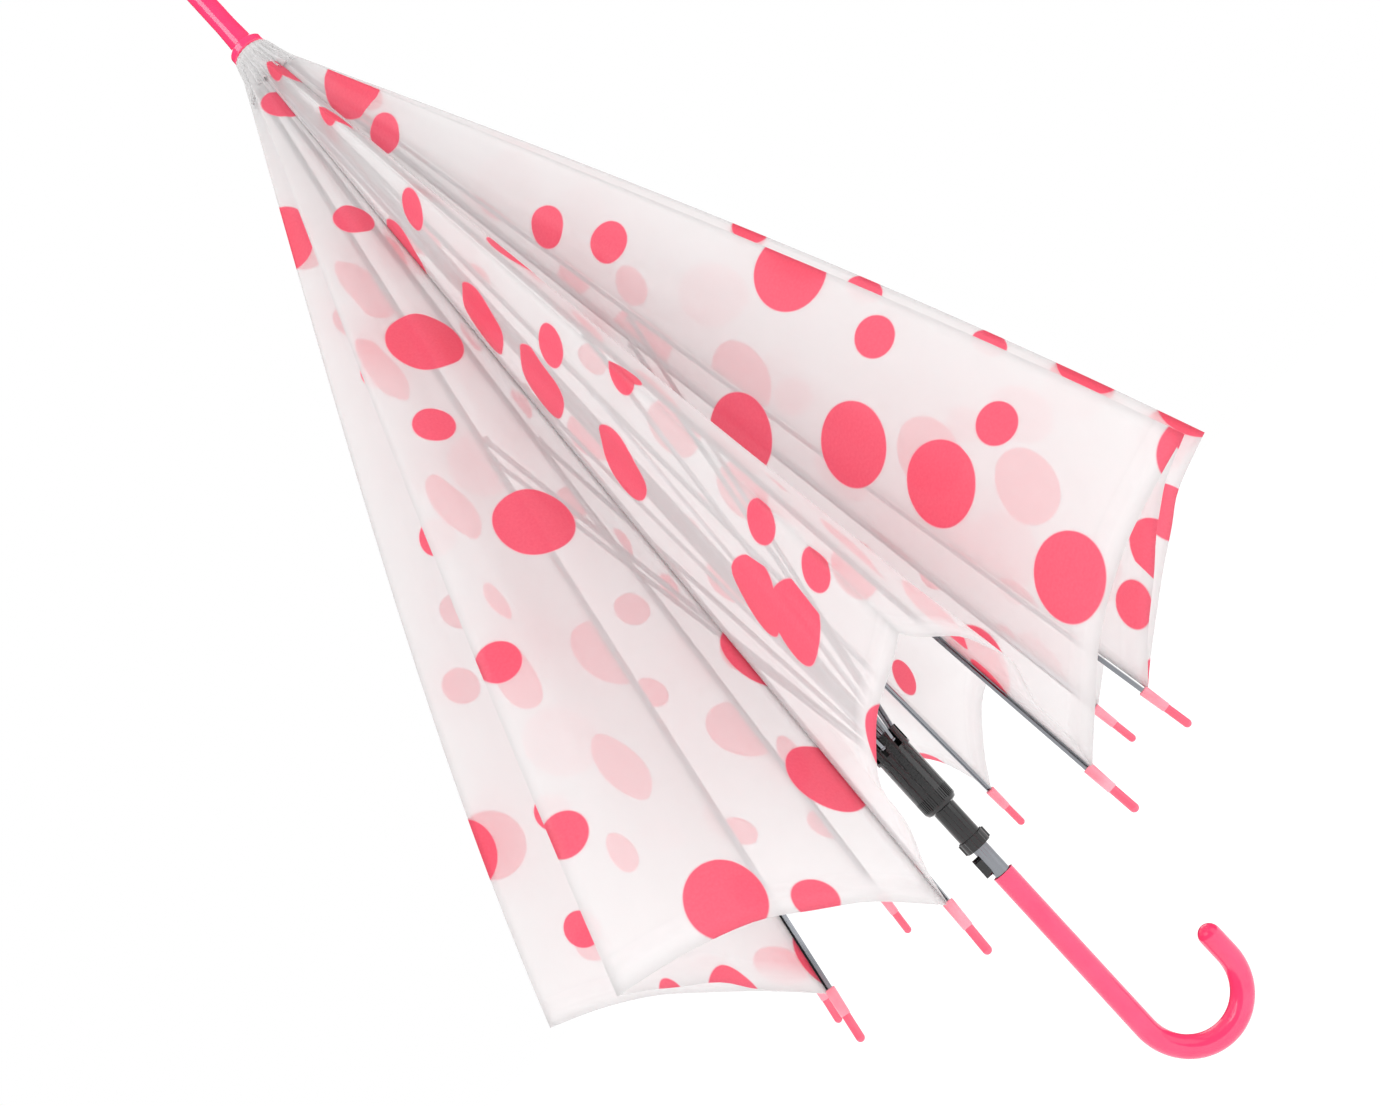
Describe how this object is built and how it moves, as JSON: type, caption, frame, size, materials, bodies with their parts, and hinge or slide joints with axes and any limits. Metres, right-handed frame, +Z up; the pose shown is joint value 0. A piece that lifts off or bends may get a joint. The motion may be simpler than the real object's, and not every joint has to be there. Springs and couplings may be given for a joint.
{
  "type": "umbrella",
  "caption": "Automatic stick umbrella, closed and loose, with a frosted dotted film canopy, hooked handle, runner and folding ribs.",
  "frame": {"origin": "middle of the straight grip of the handle, on the shaft line", "axes": "+Z up the shaft to the ferrule; +X towards the side the hook curls to"},
  "size_m": [0.5564, 0.5564, 0.9108],
  "materials": {
    "rib": "plated",
    "rib_tip": "as moulded",
    "stretcher": "plated",
    "canopy": "as moulded",
    "shaft_tube": "plated",
    "handle": "as moulded",
    "ferrule": "as moulded",
    "ferrule_collar": "as moulded",
    "crown_notch": "as moulded",
    "crown_wire": "plated",
    "button_spring": "plated",
    "runner_head": "as moulded",
    "runner_wire": "plated",
    "runner_housing": "as moulded",
    "runner_sleeve": "as moulded",
    "opening_spring": "plated",
    "release_button": "as moulded"
  },
  "bodies": {
    "root": {"shaft_tube": "shaft_tube", "handle": "handle", "ferrule": "ferrule", "ferrule_collar": "ferrule_collar", "crown_notch": "crown_notch", "crown_wire": "crown_wire", "button_spring": "button_spring"},
    "runner": {"runner_head": "runner_head", "runner_wire": "runner_wire", "runner_housing": "runner_housing", "runner_sleeve": "runner_sleeve", "opening_spring": "opening_spring"},
    "button": {"release_button": "release_button"},
    "rib_1": {"rib_1": "rib", "tip_1": "rib_tip"},
    "stretcher_1": {"stretcher_1": "stretcher"},
    "panel_1_left": {"panel_1_left": "canopy"},
    "panel_1_right": {"panel_1_right": "canopy"},
    "rib_2": {"rib_2": "rib", "tip_2": "rib_tip"},
    "stretcher_2": {"stretcher_2": "stretcher"},
    "panel_2_left": {"panel_2_left": "canopy"},
    "panel_2_right": {"panel_2_right": "canopy"},
    "rib_3": {"rib_3": "rib", "tip_3": "rib_tip"},
    "stretcher_3": {"stretcher_3": "stretcher"},
    "panel_3_left": {"panel_3_left": "canopy"},
    "panel_3_right": {"panel_3_right": "canopy"},
    "rib_4": {"rib_4": "rib", "tip_4": "rib_tip"},
    "stretcher_4": {"stretcher_4": "stretcher"},
    "panel_4_left": {"panel_4_left": "canopy"},
    "panel_4_right": {"panel_4_right": "canopy"},
    "rib_5": {"rib_5": "rib", "tip_5": "rib_tip"},
    "stretcher_5": {"stretcher_5": "stretcher"},
    "panel_5_left": {"panel_5_left": "canopy"},
    "panel_5_right": {"panel_5_right": "canopy"},
    "rib_6": {"rib_6": "rib", "tip_6": "rib_tip"},
    "stretcher_6": {"stretcher_6": "stretcher"},
    "panel_6_left": {"panel_6_left": "canopy"},
    "panel_6_right": {"panel_6_right": "canopy"},
    "rib_7": {"rib_7": "rib", "tip_7": "rib_tip"},
    "stretcher_7": {"stretcher_7": "stretcher"},
    "panel_7_left": {"panel_7_left": "canopy"},
    "panel_7_right": {"panel_7_right": "canopy"},
    "rib_8": {"rib_8": "rib", "tip_8": "rib_tip"},
    "stretcher_8": {"stretcher_8": "stretcher"},
    "panel_8_left": {"panel_8_left": "canopy"},
    "panel_8_right": {"panel_8_right": "canopy"}
  },
  "joints": [
    {"name": "rib_1_hinge", "type": "hinge", "parent": "root", "child": "rib_1", "pos_m": [0.00873, -0.00218, 0.698], "axis": [-0.2419, -0.9703, 0], "range_deg": [0, 30.7]},
    {"name": "stretcher_1_pivot", "type": "hinge", "parent": "rib_1", "child": "stretcher_1", "pos_m": [0.05905, -0.01472, 0.41267], "axis": [-0.2419, -0.9703, 0], "range_deg": [-61.5, 0.1]},
    {"name": "panel_1_left_swing", "type": "hinge", "parent": "rib_1", "child": "panel_1_left", "pos_m": [0.01384, -0.00283, 0.82879], "axis": [0.1327, -0.0343, -0.9906], "range_deg": [-0.1, 37.78]},
    {"name": "panel_1_right_swing", "type": "hinge", "parent": "rib_1", "child": "panel_1_right", "pos_m": [0.01355, -0.004, 0.82879], "axis": [0.1333, -0.032, -0.9906], "range_deg": [-37.78, 0.1]},
    {"name": "rib_2_hinge", "type": "hinge", "parent": "root", "child": "rib_2", "pos_m": [0.00771, 0.00464, 0.698], "axis": [0.515, -0.8572, 0], "range_deg": [-0.1, 30.8]},
    {"name": "stretcher_2_pivot", "type": "hinge", "parent": "rib_2", "child": "stretcher_2", "pos_m": [0.05216, 0.03134, 0.41267], "axis": [0.515, -0.8572, 0], "range_deg": [-61.5, 0.1]},
    {"name": "panel_2_left_swing", "type": "hinge", "parent": "rib_2", "child": "panel_2_left", "pos_m": [0.01179, 0.00778, 0.82879], "axis": [0.1181, 0.0696, -0.9906], "range_deg": [-0.1, 37.78]},
    {"name": "panel_2_right_swing", "type": "hinge", "parent": "rib_2", "child": "panel_2_right", "pos_m": [0.01241, 0.00676, 0.82879], "axis": [0.1169, 0.0716, -0.9906], "range_deg": [-37.78, 0.1]},
    {"name": "rib_3_hinge", "type": "hinge", "parent": "root", "child": "rib_3", "pos_m": [0.00218, 0.00873, 0.698], "axis": [0.9703, -0.2419, 0], "range_deg": [-0.1, 30.8]},
    {"name": "stretcher_3_pivot", "type": "hinge", "parent": "rib_3", "child": "stretcher_3", "pos_m": [0.01472, 0.05905, 0.41267], "axis": [0.9703, -0.2419, 0], "range_deg": [-61.5, 0.1]},
    {"name": "panel_3_left_swing", "type": "hinge", "parent": "rib_3", "child": "panel_3_left", "pos_m": [0.00283, 0.01384, 0.82879], "axis": [0.0343, 0.1327, -0.9906], "range_deg": [-0.1, 37.78]},
    {"name": "panel_3_right_swing", "type": "hinge", "parent": "rib_3", "child": "panel_3_right", "pos_m": [0.004, 0.01355, 0.82879], "axis": [0.032, 0.1333, -0.9906], "range_deg": [-37.78, 0.1]},
    {"name": "rib_4_hinge", "type": "hinge", "parent": "root", "child": "rib_4", "pos_m": [-0.00464, 0.00771, 0.698], "axis": [0.8572, 0.515, 0], "range_deg": [-0.1, 30.8]},
    {"name": "stretcher_4_pivot", "type": "hinge", "parent": "rib_4", "child": "stretcher_4", "pos_m": [-0.03134, 0.05216, 0.41267], "axis": [0.8572, 0.515, 0], "range_deg": [-61.5, 0.1]},
    {"name": "panel_4_left_swing", "type": "hinge", "parent": "rib_4", "child": "panel_4_left", "pos_m": [-0.00778, 0.01179, 0.82879], "axis": [-0.0696, 0.1181, -0.9906], "range_deg": [-0.1, 37.78]},
    {"name": "panel_4_right_swing", "type": "hinge", "parent": "rib_4", "child": "panel_4_right", "pos_m": [-0.00676, 0.01241, 0.82879], "axis": [-0.0716, 0.1169, -0.9906], "range_deg": [-37.78, 0.1]},
    {"name": "rib_5_hinge", "type": "hinge", "parent": "root", "child": "rib_5", "pos_m": [-0.00873, 0.00218, 0.698], "axis": [0.2419, 0.9703, 0], "range_deg": [-0.1, 30.8]},
    {"name": "stretcher_5_pivot", "type": "hinge", "parent": "rib_5", "child": "stretcher_5", "pos_m": [-0.05905, 0.01472, 0.41267], "axis": [0.2419, 0.9703, 0], "range_deg": [-61.5, 0.1]},
    {"name": "panel_5_left_swing", "type": "hinge", "parent": "rib_5", "child": "panel_5_left", "pos_m": [-0.01384, 0.00283, 0.82879], "axis": [-0.1327, 0.0343, -0.9906], "range_deg": [-0.1, 37.78]},
    {"name": "panel_5_right_swing", "type": "hinge", "parent": "rib_5", "child": "panel_5_right", "pos_m": [-0.01355, 0.004, 0.82879], "axis": [-0.1333, 0.032, -0.9906], "range_deg": [-37.78, 0.1]},
    {"name": "rib_6_hinge", "type": "hinge", "parent": "root", "child": "rib_6", "pos_m": [-0.00771, -0.00464, 0.698], "axis": [-0.515, 0.8572, 0], "range_deg": [-0.1, 30.8]},
    {"name": "stretcher_6_pivot", "type": "hinge", "parent": "rib_6", "child": "stretcher_6", "pos_m": [-0.05216, -0.03134, 0.41267], "axis": [-0.515, 0.8572, 0], "range_deg": [-61.5, 0.1]},
    {"name": "panel_6_left_swing", "type": "hinge", "parent": "rib_6", "child": "panel_6_left", "pos_m": [-0.01179, -0.00778, 0.82879], "axis": [-0.1181, -0.0696, -0.9906], "range_deg": [-0.1, 37.78]},
    {"name": "panel_6_right_swing", "type": "hinge", "parent": "rib_6", "child": "panel_6_right", "pos_m": [-0.01241, -0.00676, 0.82879], "axis": [-0.1169, -0.0716, -0.9906], "range_deg": [-37.78, 0.1]},
    {"name": "rib_7_hinge", "type": "hinge", "parent": "root", "child": "rib_7", "pos_m": [-0.00218, -0.00873, 0.698], "axis": [-0.9703, 0.2419, 0], "range_deg": [-0.1, 30.8]},
    {"name": "stretcher_7_pivot", "type": "hinge", "parent": "rib_7", "child": "stretcher_7", "pos_m": [-0.01472, -0.05905, 0.41267], "axis": [-0.9703, 0.2419, 0], "range_deg": [-61.5, 0.1]},
    {"name": "panel_7_left_swing", "type": "hinge", "parent": "rib_7", "child": "panel_7_left", "pos_m": [-0.00283, -0.01384, 0.82879], "axis": [-0.0343, -0.1327, -0.9906], "range_deg": [-0.1, 37.78]},
    {"name": "panel_7_right_swing", "type": "hinge", "parent": "rib_7", "child": "panel_7_right", "pos_m": [-0.004, -0.01355, 0.82879], "axis": [-0.032, -0.1333, -0.9906], "range_deg": [-37.78, 0.1]},
    {"name": "rib_8_hinge", "type": "hinge", "parent": "root", "child": "rib_8", "pos_m": [0.00464, -0.00771, 0.698], "axis": [-0.8572, -0.515, 0], "range_deg": [-0.1, 30.8]},
    {"name": "stretcher_8_pivot", "type": "hinge", "parent": "rib_8", "child": "stretcher_8", "pos_m": [0.03134, -0.05216, 0.41267], "axis": [-0.8572, -0.515, 0], "range_deg": [-61.5, 0.1]},
    {"name": "panel_8_left_swing", "type": "hinge", "parent": "rib_8", "child": "panel_8_left", "pos_m": [0.00778, -0.01179, 0.82879], "axis": [0.0696, -0.1181, -0.9906], "range_deg": [-0.1, 37.78]},
    {"name": "panel_8_right_swing", "type": "hinge", "parent": "rib_8", "child": "panel_8_right", "pos_m": [0.00676, -0.01241, 0.82879], "axis": [0.0716, -0.1169, -0.9906], "range_deg": [-37.78, 0.1]},
    {"name": "runner_carry", "type": "hinge", "parent": "stretcher_1", "child": "runner", "pos_m": [0.00873, -0.00218, 0.12735], "axis": [-0.2419, -0.9703, 0], "range_deg": [-0.1, 30.8]},
    {"name": "button_press", "type": "slide", "parent": "root", "child": "button", "axis": [1, 0, 0], "range_m": [0, 0.0015], "stiffness_N_per_m": 400}
  ],
  "couplings": [
    {"joint": "stretcher_1_pivot", "follows": "rib_1_hinge", "ratio": -2},
    {"joint": "panel_1_left_swing", "follows": "rib_1_hinge", "ratio": 1.2275},
    {"joint": "panel_1_right_swing", "follows": "rib_1_hinge", "ratio": -1.2275},
    {"joint": "stretcher_2_pivot", "follows": "rib_1_hinge", "ratio": -2},
    {"joint": "rib_2_hinge", "follows": "rib_1_hinge", "ratio": 1},
    {"joint": "panel_2_left_swing", "follows": "rib_1_hinge", "ratio": 1.2275},
    {"joint": "panel_2_right_swing", "follows": "rib_1_hinge", "ratio": -1.2275},
    {"joint": "stretcher_3_pivot", "follows": "rib_1_hinge", "ratio": -2},
    {"joint": "rib_3_hinge", "follows": "rib_1_hinge", "ratio": 1},
    {"joint": "panel_3_left_swing", "follows": "rib_1_hinge", "ratio": 1.2275},
    {"joint": "panel_3_right_swing", "follows": "rib_1_hinge", "ratio": -1.2275},
    {"joint": "stretcher_4_pivot", "follows": "rib_1_hinge", "ratio": -2},
    {"joint": "rib_4_hinge", "follows": "rib_1_hinge", "ratio": 1},
    {"joint": "panel_4_left_swing", "follows": "rib_1_hinge", "ratio": 1.2275},
    {"joint": "panel_4_right_swing", "follows": "rib_1_hinge", "ratio": -1.2275},
    {"joint": "stretcher_5_pivot", "follows": "rib_1_hinge", "ratio": -2},
    {"joint": "rib_5_hinge", "follows": "rib_1_hinge", "ratio": 1},
    {"joint": "panel_5_left_swing", "follows": "rib_1_hinge", "ratio": 1.2275},
    {"joint": "panel_5_right_swing", "follows": "rib_1_hinge", "ratio": -1.2275},
    {"joint": "stretcher_6_pivot", "follows": "rib_1_hinge", "ratio": -2},
    {"joint": "rib_6_hinge", "follows": "rib_1_hinge", "ratio": 1},
    {"joint": "panel_6_left_swing", "follows": "rib_1_hinge", "ratio": 1.2275},
    {"joint": "panel_6_right_swing", "follows": "rib_1_hinge", "ratio": -1.2275},
    {"joint": "stretcher_7_pivot", "follows": "rib_1_hinge", "ratio": -2},
    {"joint": "rib_7_hinge", "follows": "rib_1_hinge", "ratio": 1},
    {"joint": "panel_7_left_swing", "follows": "rib_1_hinge", "ratio": 1.2275},
    {"joint": "panel_7_right_swing", "follows": "rib_1_hinge", "ratio": -1.2275},
    {"joint": "stretcher_8_pivot", "follows": "rib_1_hinge", "ratio": -2},
    {"joint": "rib_8_hinge", "follows": "rib_1_hinge", "ratio": 1},
    {"joint": "panel_8_left_swing", "follows": "rib_1_hinge", "ratio": 1.2275},
    {"joint": "panel_8_right_swing", "follows": "rib_1_hinge", "ratio": -1.2275},
    {"joint": "runner_carry", "follows": "rib_1_hinge", "ratio": 1}
  ]
}
